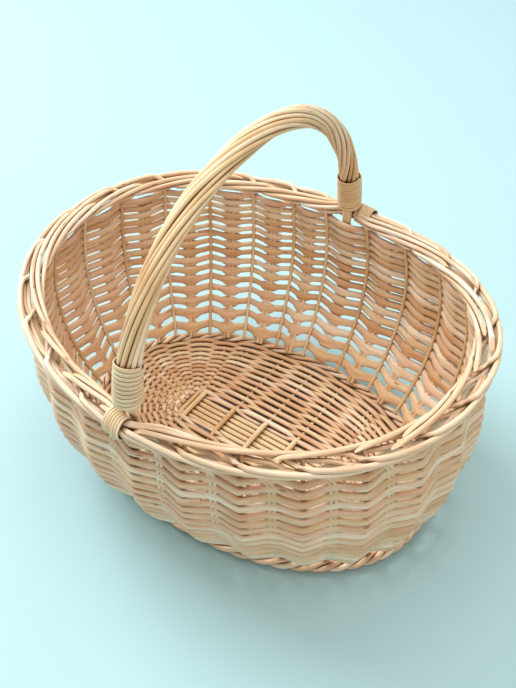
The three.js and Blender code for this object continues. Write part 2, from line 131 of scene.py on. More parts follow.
# Handle
ARCH_RISE = 0.145
ARCH_HALF_WIDTH = 0.151
ARCH_EXPONENT = 2.08
FRONT_WRAP_LIFT = 0.014
BACK_WRAP_LIFT = 0.003
HANDLE_RODS = 12
HANDLE_ROD_RADIUS = 0.00176
HANDLE_ROD_CIRCLE = 0.0148
HANDLE_TWIST_TURNS = 1.6
BOW_WIDTH = 0.0104
LEG_WIDTH = 0.0086
LEG_THICKNESS = 0.0042
NECK_WIDTH = 0.0092
NECK_THICKNESS = 0.0056
NECK_DROP = 0.0015
FRONT_LEG_OFFSET = -0.0018
BACK_LEG_OFFSET = 0.0010
LEG_FOOT_HEIGHT = 0.060

# Bindings of split cane
CANE_THICKNESS = 0.0012
COLLAR_RADIUS = 0.0104
COLLAR_TURNS = 9
COLLAR_PITCH = 0.0034
COLLAR_CANE_WIDTH = 0.0031
LASHING_STRANDS = 7
LASHING_CANE_WIDTH = 0.0022
LASHING_PITCH = 0.00238
FRONT_LASHING_MIDDLE = -0.0069
BACK_LASHING_MIDDLE = 0.0148

MM = 0.001
WANDER_GAIN = 1.6
rim_half_length = RIM_LENGTH / 2 - RIM_LINE_INSET
rim_half_width = RIM_WIDTH / 2 - RIM_LINE_INSET


def sign(value):
    return math.copysign(1.0, value)


def mix(a, b, share):
    return a + (b - a) * share


def ease(share):
    share = min(max(share, 0.0), 1.0)
    return share * share * (3 - 2 * share)


def between(places, value):
    """Reads a value off a list of (place, value) pairs, straight from one to the next."""
    for (first, low), (second, high) in zip(places, places[1:]):
        if value <= second:
            return mix(low, high, (value - first) / (second - first))
    return places[-1][1]


def wander(*numbers):
    """A smooth change between about -1 and 1, the same on each run."""
    padded = (list(numbers) + [0.0, 0.0])[:3]
    return WANDER_GAIN * noise.noise(Vector(padded))


# Plan outline: a superellipse with its outward normal

def oval_point(half_length, half_width, angle, exponent=OVAL_EXPONENT):
    c, s = math.cos(angle), math.sin(angle)
    power = 2 / exponent
    return Vector((
        sign(c) * half_length * abs(c) ** power,
        sign(s) * half_width * abs(s) ** power,
        0.0,
    ))


def oval_normal(half_length, half_width, angle):
    p = oval_point(half_length, half_width, angle)
    power = OVAL_EXPONENT - 1
    return Vector((
        sign(p.x) * abs(p.x / half_length) ** power / half_length,
        sign(p.y) * abs(p.y / half_width) ** power / half_width,
        0.0,
    )).normalized()


# Angles at even steps of length round the rim line, from the front of the basket
FINE_STEPS = 2880
fine_angles = [-math.pi / 2 + i / FINE_STEPS * 2 * math.pi for i in range(FINE_STEPS + 1)]
fine_lengths = [0.0]
for first_angle, second_angle in zip(fine_angles, fine_angles[1:]):
    first_point = oval_point(rim_half_length, rim_half_width, first_angle)
    second_point = oval_point(rim_half_length, rim_half_width, second_angle)
    fine_lengths.append(fine_lengths[-1] + (second_point - first_point).length)
rim_perimeter = fine_lengths[-1]


def angle_at_length(length):
    wanted = length % rim_perimeter
    i = max(bisect_left(fine_lengths, wanted), 1)
    share = (wanted - fine_lengths[i - 1]) / (fine_lengths[i] - fine_lengths[i - 1])
    return mix(fine_angles[i - 1], fine_angles[i], share)


def ridge_length(ridge):
    """Length round the rim at a whole ridge: even as far as the back leg, a little closer after it."""
    first_crowded = BACK_LEG_VALLEY + 1
    share = max(ridge - first_crowded, 0) / (STAKES - first_crowded)
    shift = STAKE_CROWDING * math.sin(math.pi * share ** CROWDING_EXPONENT)
    return ridge / STAKES * rim_perimeter - shift


def angle_at(ridges):
    """Angle on the rim line at a number of ridges from the front. Valleys lie halfway between them."""
    ridges = ridges % STAKES
    ridge = math.floor(ridges)
    return angle_at_length(mix(ridge_length(ridge), ridge_length(ridge + 1), ridges - ridge))


def ridge_distance(ridges):
    """Distance to the nearest ridge, from 0 on it to 0.5 in a valley."""
    return abs((ridges + 0.5) % 1.0 - 0.5)


def rim_top(x):
    return RIM_HEIGHT + RIM_END_RISE * abs(2 * x / RIM_LENGTH) ** RIM_RISE_EXPONENT


def wall_top(x):
    return rim_top(x) - 2 * BORDER_HALF_HEIGHT - WALL_TOP_GAP


def wall_frame(angle, level, offset):
    """A point of the wall and the direction outwards. Its offset is from the middle of the weave."""
    taper = max(1 - level, 0.0) ** WALL_TAPER_EXPONENT
    belly = WALL_BELLY * 4 * level * (1 - level)
    half_length = rim_half_length - (rim_half_length - BASE_LENGTH / 2) * taper + belly
    half_width = rim_half_width - (rim_half_width - BASE_WIDTH / 2) * taper + belly
    p = oval_point(half_length, half_width, angle)
    outward = oval_normal(half_length, half_width, angle)
    place = p + outward * (offset - WALL_REACH)
    place.z = WALL_FOOT + level * (wall_top(p.x) - WALL_FOOT)
    return place, outward


def wall_point(angle, level, offset):
    return wall_frame(angle, level, offset)[0]


# Rods: a section is swept along a path, ring by ring

CUT_ROUNDING = 0.1
SLANT_FADE_A_RING = 0.5
GRAIN_STEP_A_ROD = 0.713


def section_points(width, thickness, sides, squareness):
    """Points of a rod's section, sideways and outwards. Squareness 1 is round, and 0.5 nearly flat."""
    points = []
    for j in range(sides):
        angle = (j + 0.5) / sides * 2 * math.pi
        c, s = math.cos(angle), math.sin(angle)
        sideways = sign(c) * width / 2 * abs(c) ** squareness
        outwards = sign(s) * thickness / 2 * abs(s) ** squareness
        points.append((sideways, outwards))
    return points


def path_frames(points, outwards):
    """Run, sideways and outward at each point. Without outwards, the section turns as little as it can."""
    frames = []
    carried = None
    for i in range(len(points)):
        run = (points[min(i + 1, len(points) - 1)] - points[max(i - 1, 0)]).normalized()
        if outwards:
            reference = outwards[i]
        elif carried is None:
            reference = Vector((0, 0, 1)) if abs(run.z) < 0.8 else Vector((1, 0, 0))
        else:
            reference = carried
        sideways = run.cross(reference).normalized()
        outward = sideways.cross(run).normalized()
        carried = outward
        frames.append((run, sideways, outward))
    return frames


class Piece:
    """One piece of the basket, made of rods or strips that share a material."""

    def __init__(self, name):
        self.name = name
        self.mesh = bmesh.new()
        for layer in ("tone", "cut"):
            self.mesh.verts.layers.float.new(layer)
        self.mesh.verts.layers.float_vector.new("grain")
        self.rods = 0

    def sweep(self, points, size, tone, outwards=None, thickness=None, sides=10, squareness=1.0,
              cut_end=True, slant=0.0):
        """Adds one rod. Size and thickness are one number, or a list of them. Slant makes its end oblique."""
        count = len(points)
        widths = size if isinstance(size, list) else [size] * count
        thickness = thickness or widths
        thicknesses = thickness if isinstance(thickness, list) else [thickness] * count
        frames = path_frames(points, outwards)
        self.rods += 1
        grain_start = self.rods * GRAIN_STEP_A_ROD
        rod = bmesh.new()
        tone_layer = rod.verts.layers.float.new("tone")
        cut_layer = rod.verts.layers.float.new("cut")
        grain_layer = rod.verts.layers.float_vector.new("grain")
        corner_layer = rod.verts.layers.int.new("corner")

        def place(verts, i, scale, lift, cut):
            run, sideways, outward = frames[i]
            offsets = section_points(widths[i], thicknesses[i], sides, squareness)
            slant_here = slant * max(1 - SLANT_FADE_A_RING * (count - 1 - i), 0.0)
            for vert in verts:
                u, v = offsets[vert[corner_layer]]
                forward = run * (lift - slant_here * v)
                vert.co = points[i] + sideways * (u * scale) + outward * (v * scale) + forward
                vert[grain_layer] = Vector((grain_start + along, u * scale, v * scale))
                vert[cut_layer] = cut

        def extrude(ring_edges):
            made = bmesh.ops.extrude_edge_only(rod, edges=ring_edges)["geom"]
            verts = {part for part in made if isinstance(part, bmesh.types.BMVert)}
            new_edges = [part for part in made if isinstance(part, bmesh.types.BMEdge)]
            return verts, [edge for edge in new_edges if set(edge.verts) <= verts]

        along = 0.0
        ring = bmesh.ops.create_circle(rod, cap_ends=False, segments=sides, radius=1.0)["verts"]
        for j, vert in enumerate(ring):
            vert[corner_layer] = j
            vert[tone_layer] = tone
        first_edges = edges = list(rod.edges)
        place(ring, 0, 1.0, 0.0, 0.0)
        for i in range(1, count):
            along += (points[i] - points[i - 1]).length
            ring, edges = extrude(edges)
            place(ring, i, 1.0, 0.0, 0.0)
        for end_edges, i, lift, is_cut in (
            (edges, count - 1, CUT_ROUNDING * widths[-1], cut_end),
            (first_edges, 0, -CUT_ROUNDING * widths[0], True),
        ):
            ring, cap_edges = extrude(end_edges)
            place(ring, i, 1 - CUT_ROUNDING, lift, 1.0 if is_cut else 0.0)
            bmesh.ops.edgeloop_fill(rod, edges=cap_edges)
            for edge in cap_edges:
                edge.smooth = False
        bmesh.ops.recalc_face_normals(rod, faces=rod.faces)
        for face in rod.faces:
            face.smooth = True
        rod.verts.layers.int.remove(rod.verts.layers.int["corner"])
        swept = bpy.data.meshes.new("rod")
        rod.to_mesh(swept)
        rod.free()
        self.mesh.from_mesh(swept)
        bpy.data.meshes.remove(swept)

    def finish(self, material, slot, *nodes):
        """Makes the object, which stands for the CAD nodes that are named."""
        mesh = bpy.data.meshes.new(self.name)
        self.mesh.to_mesh(mesh)
        self.mesh.free()
        mesh.materials.append(material)
        piece = bpy.data.objects.new(self.name, mesh)
        bpy.context.scene.collection.objects.link(piece)
        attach(piece, "root")
        if nodes:
            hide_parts(*nodes)


# Materials

SCAR_COLOUR = "#8a5c36"
# Painted shade: the colour and reach of the brown shade painted into the narrow gaps between rods
PAINTED_GAP_SHADE_COLOUR = "#8c6444"
PAINTED_GAP_SHADE_REACH = 0.006


def linear(hex_colour):
    values = [int(hex_colour[i:i + 2], 16) / 255 for i in (1, 3, 5)]
    return tuple(v / 12.92 if v <= 0.04045 else ((v + 0.055) / 1.055) ** 2.4 for v in values) + (1.0,)


def add_node(tree, kind, settings=None, links=None):
    """Adds a node. Settings go to its properties or sockets, and links join its sockets to others."""
    node = tree.nodes.new(kind)
    for key, value in (settings or {}).items():
        if isinstance(key, str) and hasattr(node, key):
            setattr(node, key, value)
        else:
            node.inputs[key].default_value = value
    for key, source in (links or {}).items():
        tree.links.new(source, node.inputs[key])
    return node


def rod_material(name, tones, cut_colour, roughness, stain):
    """Peeled wood: smooth and pale, in fine long streaks, with a tone for each rod and small scars, and
    painted shade in the narrow gaps between rods.
    """
    material = bpy.data.materials.new(name)
    material.use_nodes = True
    tree = material.node_tree
    tree.nodes.clear()
    tone = add_node(tree, "ShaderNodeAttribute", {"attribute_name": "tone"})
    cut = add_node(tree, "ShaderNodeAttribute", {"attribute_name": "cut"})
    grain = add_node(tree, "ShaderNodeAttribute", {"attribute_name": "grain"})

    ramp = add_node(tree, "ShaderNodeValToRGB", links={"Fac": tone.outputs["Fac"]})
    ramp.color_ramp.elements[0].color = linear(tones[0])
    ramp.color_ramp.elements[1].color = linear(tones[-1])
    for i, colour in enumerate(tones[1:-1]):
        element = ramp.color_ramp.elements.new((i + 1) / (len(tones) - 1))
        element.color = linear(colour)

    # Fibre streaks 0.5 mm across and 20 mm long
    fibre_place = add_node(
        tree, "ShaderNodeMapping", {"Scale": (50, 2000, 2000)}, {"Vector": grain.outputs["Vector"]},
    )
    fibres = add_node(
        tree, "ShaderNodeTexNoise", {"Scale": 1.0, "Detail": 3.0}, {"Vector": fibre_place.outputs["Vector"]},
    )
    # Slow changes of tone every 30 mm
    patch_place = add_node(
        tree, "ShaderNodeMapping", {"Scale": (33, 250, 250)}, {"Vector": grain.outputs["Vector"]},
    )
    patches = add_node(
        tree, "ShaderNodeTexNoise", {"Scale": 1.0, "Detail": 2.0}, {"Vector": patch_place.outputs["Vector"]},
    )
    # Bud scars about 2 mm long and 40 mm apart
    scar_place = add_node(
        tree, "ShaderNodeMapping", {"Scale": (28, 110, 110)}, {"Vector": grain.outputs["Vector"]},
    )
    scars = add_node(
        tree, "ShaderNodeTexVoronoi", {"Scale": 1.0}, {"Vector": scar_place.outputs["Vector"]},
    )

    fibre_range = add_node(
        tree, "ShaderNodeMapRange",
        {"From Min": 0.3, "From Max": 0.7, "To Min": 0.84, "To Max": 1.1},
        {"Value": fibres.outputs["Fac"]},
    )
    streaked = add_node(
        tree, "ShaderNodeVectorMath", {"operation": "SCALE"},
        {0: ramp.outputs["Color"], "Scale": fibre_range.outputs["Result"]},
    )
    patch_range = add_node(
        tree, "ShaderNodeMapRange",
        {"From Min": 0.4, "From Max": 0.75, "To Min": 0.0, "To Max": 0.7},
        {"Value": patches.outputs["Fac"]},
    )
    stained = add_node(
        tree, "ShaderNodeMix", {"data_type": "RGBA", "blend_type": "MULTIPLY", 7: linear(stain)},
        {0: patch_range.outputs["Result"], 6: streaked.outputs["Vector"]},
    )
    scar_range = add_node(
        tree, "ShaderNodeMapRange",
        {"From Min": 0.05, "From Max": 0.11, "To Min": 0.75, "To Max": 0.0},
        {"Value": scars.outputs["Distance"]},
    )
    scarred = add_node(
        tree, "ShaderNodeMix", {"data_type": "RGBA", 7: linear(SCAR_COLOUR)},
        {0: scar_range.outputs["Result"], 6: stained.outputs[2]},
    )
    ended = add_node(
        tree, "ShaderNodeMix", {"data_type": "RGBA", 7: linear(cut_colour)},
        {0: cut.outputs["Fac"], 6: scarred.outputs[2]},
    )
    # Painted shade: brown multiplied into the colour in the narrow gaps, from anything closer than 6 mm
    gap_occlusion = add_node(tree, "ShaderNodeAmbientOcclusion", {"samples": 6, "Distance": PAINTED_GAP_SHADE_REACH})
    painted_shade_amount = add_node(
        tree, "ShaderNodeMapRange",
        {"From Min": 0.15, "From Max": 0.74, "To Min": 0.95, "To Max": 0.0},
        {"Value": gap_occlusion.outputs["AO"]},
    )
    painted_gap_shade = add_node(
        tree, "ShaderNodeMix", {"data_type": "RGBA", "blend_type": "MULTIPLY", 7: linear(PAINTED_GAP_SHADE_COLOUR)},
        {0: painted_shade_amount.outputs["Result"], 6: ended.outputs[2]},
    )
    # The paler fibres stand up a little and are rougher
    rough = add_node(
        tree, "ShaderNodeMapRange",
        {"From Min": 0.3, "From Max": 0.7, "To Min": roughness - 0.08, "To Max": roughness + 0.12},
        {"Value": fibres.outputs["Fac"]},
    )
    bump = add_node(
        tree, "ShaderNodeBump", {"Strength": 0.35, "Distance": 0.00025}, {"Height": fibres.outputs["Fac"]},
    )
    shader = add_node(
        tree, "ShaderNodeBsdfPrincipled", {"IOR": 1.5, "Specular IOR Level": 0.4},
        {
            "Base Color": painted_gap_shade.outputs[2],
            "Roughness": rough.outputs["Result"],
            "Normal": bump.outputs["Normal"],
        },
    )
    add_node(tree, "ShaderNodeOutputMaterial", links={"Surface": shader.outputs["BSDF"]})
    return material


# Peeled willow: satin wood whose rods run from cream to light tan
weaving_willow = rod_material(
    "peeled_willow_weaving",
    tones=("#f4e4cc", "#ecd5b2", "#e3c398", "#ecceb2", "#d9b084"),
    cut_colour="#f2dfbe",
    roughness=0.48,
    stain="#e6c29c",
)
# The same wood in the stakes, a little yellower and duller
stake_willow = rod_material(
    "peeled_willow_stakes",
    tones=("#f2e1c0", "#ead0a4", "#dfbd8e"),
    cut_colour="#f3e2c2",
    roughness=0.5,
    stain="#e6c49a",
)
# The palest and smoothest rods, darker in their slanting cuts
border_willow = rod_material(
    "peeled_willow_border",
    tones=("#f7ead6", "#f0dabb", "#e8cba6", "#eed2ba"),
    cut_colour="#dabb92",
    roughness=0.44,
    stain="#e6c4a2",
)
# Long smooth rods without knots, cream with darker streaks
handle_willow = rod_material(
    "peeled_willow_handle",
    tones=("#f6e8cc", "#eed7ae", "#e4c394"),
    cut_colour="#f7e8ca",
    roughness=0.44,
    stain="#e4c094",
)
# Rattan split into flat strips: shinier than the willow and a greyer yellow
split_cane = rod_material(
    "split_cane",
    tones=("#eddbb8", "#e4cca2", "#dcbe92"),
    cut_colour="#efdfc0",
    roughness=0.42,
    stain="#e2c699",
)


# Side wall: rows of weaving that pass outside the thin stakes and inside the pairs

# How far to each side of a pair a row lies deepest, in ridges, and how much its fold is eased
VALLEY_SHARE = 0.09
FOLD_EASE = 0.18

# Angles of the long slots and of the dense weaving, from the right-hand end round towards the back
SLOTS_MIDDLE = math.radians(116)
SLOTS_SPREAD = math.radians(33)
DENSE_MIDDLE = math.radians(40)
DENSE_SPREAD = math.radians(36)

# How much of its pitch a rod fills
FILL = 0.72
FILL_MORE_AT_BACK = 0.05
FILL_MORE_AT_ENDS = 0.06
FILL_MORE_WHERE_DENSE = 0.12
FILL_LESS_AT_SLOTS = 0.24
WEAVER_HEIGHT_MOST = 0.0096
WEAVER_HEIGHT_MOST_AT_SLOTS = 0.0074

# At a pair a rod is pressed taller, from this far off the ridge, in ridges
PRESSED_FROM = 0.34
PRESSED_FROM_AT_SLOTS = 0.29
PRESSED_RUN = 0.07
PRESSED_HEIGHT = 1.26
PRESSED_HEIGHT_AT_SLOTS = 1.78

# Joins in a row: where its rods start, in ridges, how far each runs on past its stakes, in steps,
# and how its butt drops and its tip thins and rises over the next butt, within so many ridges
STEPS_A_RIDGE = 18
SECOND_ROD_STARTS = (7, 8, 9)
THIRD_ROD_STARTS = (15, 16, 17)
BUTT_STEPS = 2
TIP_STEPS = 5
BUTT_END = 0.3
TIP_START = 0.1
JOIN_RUN = 0.4
BUTT_DROP = 0.0010
TIP_LIFT = 0.0021
BUTT_SIZE = 1.04
END_SIZE = 0.95
TIP_SIZE = 0.62

# Unevenness of a rod: slow drift, over about three ridges, and jitter within a ridge
ROW_DRIFT = 0.0004
ROW_JITTER = 0.0002
OFFSET_JITTER = 0.00015
HEIGHT_DRIFT = 0.05


def weave_offset(ridges):
    """How far a row lies outwards from the middle of the weave, with a sharp fold over each thin stake."""
    fall = min(ridge_distance(ridges) / (0.5 - VALLEY_SHARE), 1.0)
    return WEAVE_SWING * (1 - 2 * mix(fall, ease(fall), FOLD_EASE))


def row_level(row):
    """Level of a row. The rows lie closer together towards the top."""
    return ((row + ROW_START) / (WEAVER_ROWS + ROW_MARGIN)) ** ROW_SPACING_EXPONENT


def nearness(angle, middle, spread):
    """Share from 1 at a middle angle down to 0 well beyond its spread."""
    turned = (angle - middle + math.pi) % (2 * math.pi) - math.pi
    return math.exp(-((turned / spread) ** 2))


def weaver_height(ridges, angle, pitch):
    """Height of a rod in its row's pitch: least at the slots, and more where it passes a pair."""
    open_share = nearness(angle, SLOTS_MIDDLE, SLOTS_SPREAD)
    dense_share = nearness(angle, DENSE_MIDDLE, DENSE_SPREAD)
    fill = FILL + FILL_MORE_AT_BACK * math.sin(angle) + FILL_MORE_AT_ENDS * math.cos(angle) ** 2
    fill += FILL_MORE_WHERE_DENSE * dense_share - FILL_LESS_AT_SLOTS * open_share
    height = min(fill * pitch, mix(WEAVER_HEIGHT_MOST, WEAVER_HEIGHT_MOST_AT_SLOTS, open_share))
    pressed_from = mix(PRESSED_FROM, PRESSED_FROM_AT_SLOTS, open_share)
    pressed = ease((ridge_distance(ridges) - pressed_from) / PRESSED_RUN)
    return height * mix(1.0, mix(PRESSED_HEIGHT, PRESSED_HEIGHT_AT_SLOTS, open_share), pressed)


def add_row(piece, row, rng):
    """One row: three rods that meet at stakes, each thinner towards its tip."""
    start = rng.randrange(STAKES)
    second = start + rng.choice(SECOND_ROD_STARTS)
    third = start + rng.choice(THIRD_ROD_STARTS)
    joins = [start, second, third, start + STAKES]
    level = row_level(row)
    thickness = mix(WEAVER_THICKNESS_AT_FOOT, WEAVER_THICKNESS, ease(level / FOOT_LEVELS))
    for first, last in zip(joins, joins[1:]):
        count = (last - first) * STEPS_A_RIDGE + BUTT_STEPS + TIP_STEPS
        tone = rng.random()
        seed = rng.uniform(0, 50)
        points = []
        outwards = []
        heights = []
        thicknesses = []
        for i in range(count + 1):
            ridges = first + (i - BUTT_STEPS) / STEPS_A_RIDGE
            drift = wander(ridges * 0.35, row * 3.7, seed)
            jitter = wander(ridges * 1.9, row * 5.1, seed)
            tip = ease((ridges - (last - TIP_START)) / JOIN_RUN)
            butt = ease((first + BUTT_END - ridges) / JOIN_RUN)
            angle = angle_at(ridges)
            offset = weave_offset(ridges) + OFFSET_JITTER * jitter
            place, outward = wall_frame(angle, level, offset)
            above = wall_point(angle, row_level(row + 0.5), offset)
            below = wall_point(angle, row_level(row - 0.5), offset)
            pitch = above - below
            slope = pitch.normalized()
            place.z += ROW_DRIFT * drift + ROW_JITTER * jitter + TIP_LIFT * tip - BUTT_DROP * butt
            points.append(place)
            outwards.append((outward - slope * outward.dot(slope)).normalized())
            taper = mix(BUTT_SIZE, END_SIZE, i / count) * mix(1.0, TIP_SIZE, tip)
            height = weaver_height(ridges, angle, pitch.length)
            heights.append(height * taper * (1 + HEIGHT_DRIFT * drift))
            thicknesses.append(thickness * taper)
        piece.sweep(points, heights, tone, outwards=outwards, thickness=thicknesses)


def make_wall():
    rng = random.Random(11)
    bands = (("lower", range(0, 5)), ("middle", range(5, 10)), ("upper", range(10, WEAVER_ROWS)))
    for name, rows in bands:
        piece = Piece(f"weaving_rows_{name}")
        for row in rows:
            add_row(piece, row, rng)
        piece.finish(weaving_willow, "weaving_willow", f"wall_weave_{name}")


def make_inner_stakes():
    """Thin stakes inside each ridge, but for the first one, where the front leg of the handle stands."""
    rng = random.Random(12)
    piece = Piece("inner_stakes")
    steps = 14
    for i in range(1, STAKES):
        angle = angle_at(i)
        points = []
        for j in range(steps + 1):
            points.append(wall_point(angle, INNER_STAKE_TOP * j / steps, INNER_STAKE_OFFSET))
        piece.sweep(points, 2 * INNER_STAKE_RADIUS, rng.random(), sides=8)
    piece.finish(stake_willow, "stake_willow")


# Border: each rod of a pair leans over, runs along the outside, goes under to the inside,
# crosses slowly over the top, and ends there in a slanting cut

BORDER_STRANDS = 4
BORDER_STEPS_A_RIDGE = 9
# Tracks on the outside: (ridges leaned, length round the section) pairs
UPPER_ROD_TRACK = ((1.0, -0.0056), (3.3, 0.0034))
LOWER_ROD_TRACK = ((1.0, -0.0085), (1.5, -0.0075))
# Ridges leaned where a rod starts and ends its way under, and where in the section it comes up inside
UPPER_ROD_UNDER = (3.3, 3.9)
LOWER_ROD_UNDER = (1.5, 2.1)
UPPER_ROD_INSIDE = -0.0212
LOWER_ROD_INSIDE = -0.0166
UNDER_DIP = 0.0020
OVER_TOP_RATE = 0.0048
TRACK_WANDER = 0.00035

# Shortest and longest run over the top. Some upper rods are cut off short, on the inside
UPPER_RUN_OUT = (0.0142, 0.0168)
SHORT_RUN_OUT = (0.0080, 0.0100)
SHORT_RUN_OUT_SHARE = 0.3
LOWER_RUN_OUT = (0.0026, 0.0044)
RUN_OUT_SIZE = 0.93

STEM_STEPS = 13
STEM_SWAY = 0.0002
LEAN_STEPS = 10
LEAN_EXPONENT = 1.3

arc_middle = (BORDER_OUTER_REACH - BORDER_INNER_REACH) / 2
arc_half_width = (BORDER_OUTER_REACH + BORDER_INNER_REACH) / 2
ARC_STEPS = 360
arc_turns = [i / ARC_STEPS * 2 * math.pi for i in range(ARC_STEPS + 1)]
arc_places = [oval_point(arc_half_width, BORDER_LIFT, turn, BORDER_EXPONENT) for turn in arc_turns]
arc_lengths = [0.0]
for first_place, second_place in zip(arc_places, arc_places[1:]):
    arc_lengths.append(arc_lengths[-1] + (second_place - first_place).length)
arc_round = arc_lengths[-1]


def border_section(arc):
    """Place in the border's section, across and up, at a length round it from its outermost point."""
    wanted = arc % arc_round
    i = max(bisect_left(arc_lengths, wanted), 1)
    share = (wanted - arc_lengths[i - 1]) / (arc_lengths[i] - arc_lengths[i - 1])
    place = arc_places[i - 1].lerp(arc_places[i], share)
    return Vector((arc_middle + place.x, place.y))


def nip_at(x):
    """How far the border is drawn together by a lashing, from 1 at the legs to 0 away from them."""
    return math.exp(-((x / BORDER_NIP_SPREAD) ** 2))


def border_place(ridges, section):
    """A point of the border and the direction away from its middle, from its place in the section."""
    angle = angle_at(ridges)
    p = oval_point(rim_half_length, rim_half_width, angle)
    n = oval_normal(rim_half_length, rim_half_width, angle)
    nip = nip_at(p.x)
    reach = BORDER_OUTER_REACH if section.x > 0 else BORDER_INNER_REACH
    across = section.x * mix(1.0, BORDER_NIP_REACH / reach, nip)
    place = p + n * (nip * BORDER_NIP_SHIFT + across)
    place.z = rim_top(p.x) - BORDER_HALF_HEIGHT + section.y
    away = n * ((section.x - arc_middle) / arc_half_width ** 2) + Vector((0, 0, section.y / BORDER_LIFT ** 2))
    return place, away.normalized()


def rod_section(is_upper, ridges_left, seed):
    """Where a border rod lies in the section after leaning so many ridges to the left."""
    track = UPPER_ROD_TRACK if is_upper else LOWER_ROD_TRACK
    under_start, under_end = UPPER_ROD_UNDER if is_upper else LOWER_ROD_UNDER
    inside = UPPER_ROD_INSIDE if is_upper else LOWER_ROD_INSIDE
    shift = TRACK_WANDER * wander(ridges_left * 0.9, seed)
    if ridges_left < under_start:
        return border_section(between(track, max(ridges_left, PAIR_LEAN_RIDGES)) + shift)
    if ridges_left < under_end:
        share = ease((ridges_left - under_start) / (under_end - under_start))
        section = border_section(track[-1][1]).lerp(border_section(inside), share)
        section.y -= UNDER_DIP * math.sin(math.pi * share)
        return section
    return border_section(inside - OVER_TOP_RATE * (ridges_left - under_end) + shift)


def pair_place(valley, is_upper, level):
    """A point of one rod of a pair, and the direction outwards there. The upper rod stands on the right."""
    place, outward = wall_frame(angle_at(valley), level, PAIR_OFFSET)
    sideways = Vector((-outward.y, outward.x, 0.0))
    return place + sideways * (PAIR_HALF_SPACING if is_upper else -PAIR_HALF_SPACING), outward


def stem_path(valley, is_upper, seed):
    """Points of a rod of a pair, and the directions outwards, up to where it leans over."""
    points = []
    outwards = []
    for j in range(STEM_STEPS):
        level = PAIR_LEAN_LEVEL * j / (STEM_STEPS - 1)
        place, outward = pair_place(valley, is_upper, level)
        place.x += STEM_SWAY * wander(level * 3, seed)
        points.append(place)
        outwards.append(outward)
    return points, outwards


def lean_path(valley, is_upper, seed, stem_end, stem_outward):
    """Points, directions outwards and widths of a rod that leans from its stem into the border."""
    points = []
    outwards = []
    widths = []
    for j in range(LEAN_STEPS):
        share = j / LEAN_STEPS
        left = share ** LEAN_EXPONENT * PAIR_LEAN_RIDGES
        track, away = border_place(valley - left, rod_section(is_upper, left, seed))
        low, _ = pair_place(valley - left, is_upper, PAIR_LEAN_LEVEL)
        place = low.lerp(track, ease(share) ** 2)
        place.z = mix(stem_end.z, track.z, 1 - (1 - share) ** 2)
        points.append(place)
        outwards.append(stem_outward.lerp(away, share).normalized())
        widths.append(mix(PAIR_ROD_WIDTH, 2 * BORDER_ROD_RADIUS, share))
    return points, outwards, widths


def run_out_ridges(is_upper, rng):
    """Ridges that a rod leans over the top of the border, up to its cut."""
    run_out = LOWER_RUN_OUT
    if is_upper:
        run_out = SHORT_RUN_OUT if rng.random() < SHORT_RUN_OUT_SHARE else UPPER_RUN_OUT
    return mix(*run_out, rng.random()) / OVER_TOP_RATE


def make_pairs_and_border():
    rng = random.Random(13)
    number = 0
    border = [Piece(f"border_rods_{i + 1}") for i in range(BORDER_STRANDS)]
    for i in range(STAKES):
        valley = i + 0.5
        pair = None
        if i != BACK_LEG_VALLEY:
            number += 1
            pair = Piece(f"stake_pair_{number:02d}")
        for k, is_upper in enumerate((True, False)):
            tone = rng.random()
            seed = rng.uniform(0, 80)
            points, outwards, widths = [], [], []
            if pair:
                stem, stem_outwards = stem_path(valley, is_upper, seed)
                pair.sweep(stem, PAIR_ROD_WIDTH, tone, outwards=stem_outwards, thickness=PAIR_ROD_THICKNESS,
                           squareness=0.85, cut_end=False)
                points, outwards, widths = lean_path(valley, is_upper, seed, stem[-1], stem_outwards[-1])
            under_end = (UPPER_ROD_UNDER if is_upper else LOWER_ROD_UNDER)[1]
            last_left = under_end + run_out_ridges(is_upper, rng)
            steps = int((last_left - PAIR_LEAN_RIDGES) * BORDER_STEPS_A_RIDGE)
            width = 2 * BORDER_ROD_RADIUS * rng.uniform(0.93, 1.03)
            for j in range(steps + 1):
                left = mix(PAIR_LEAN_RIDGES, last_left, j / steps)
                place, away = border_place(valley - left, rod_section(is_upper, left, seed))
                points.append(place)
                outwards.append(away)
                widths.append(width * mix(1.0, RUN_OUT_SIZE, j / steps))
            strand = border[(2 * i + k) % BORDER_STRANDS]
            strand.sweep(points, widths, tone, outwards=outwards, slant=rng.uniform(2.2, 3.0))
        if pair:
            pair.finish(weaving_willow, "weaving_willow", f"outer_stake_{number:02d}")
    for i, piece in enumerate(border):
        piece.finish(border_willow, "border_willow", f"border_strand_{i + 1}")


# Wale: rods twisted round the edge of the base

def make_wale():
    rng = random.Random(14)
    piece = Piece("upsett_wale_rods")
    steps = 360
    overlap = 4
    for strand in range(WALE_RODS):
        points = []
        for i in range(steps + overlap):
            share = i / steps
            angle = share * 2 * math.pi
            p = oval_point(BASE_LENGTH / 2, BASE_WIDTH / 2, angle)
            n = oval_normal(BASE_LENGTH / 2, BASE_WIDTH / 2, angle)
            turn = (share * WALE_TURNS + strand / WALE_RODS) * 2 * math.pi
            place = p + n * (WALE_REACH * math.cos(turn) - WALE_INSET)
            place.z = WALE_MIDDLE + WALE_LIFT * math.sin(turn)
            points.append(place)
        piece.sweep(points, WALE_ROD_WIDTH, rng.random())
    piece.finish(weaving_willow, "weaving_willow", "upsett_wale")


# Base: long rods, cross sticks over them, and rows of thin weaving that pass over and under their ends

base_reach = BASE_LENGTH / 2 - WALE_WIDTH - BASE_WEAVE_GAP
base_half_reach = BASE_WIDTH / 2 - WALE_WIDTH - BASE_WEAVE_GAP
# Rows of the base that the rods of its fans reach
FAN_ROWS = BASE_ROWS - 3


def base_row(row):
    """Half sizes and exponent of a row's outline, from a long oval round the slath to the base's own."""
    share = row / (BASE_ROWS - 1)
    return (
        mix(SLATH_REACH, base_reach, share),
        mix(SLATH_HALF_REACH, base_half_reach, share),
        mix(OVAL_EXPONENT, SLATH_EXPONENT, (1 - share) ** 3),
    )


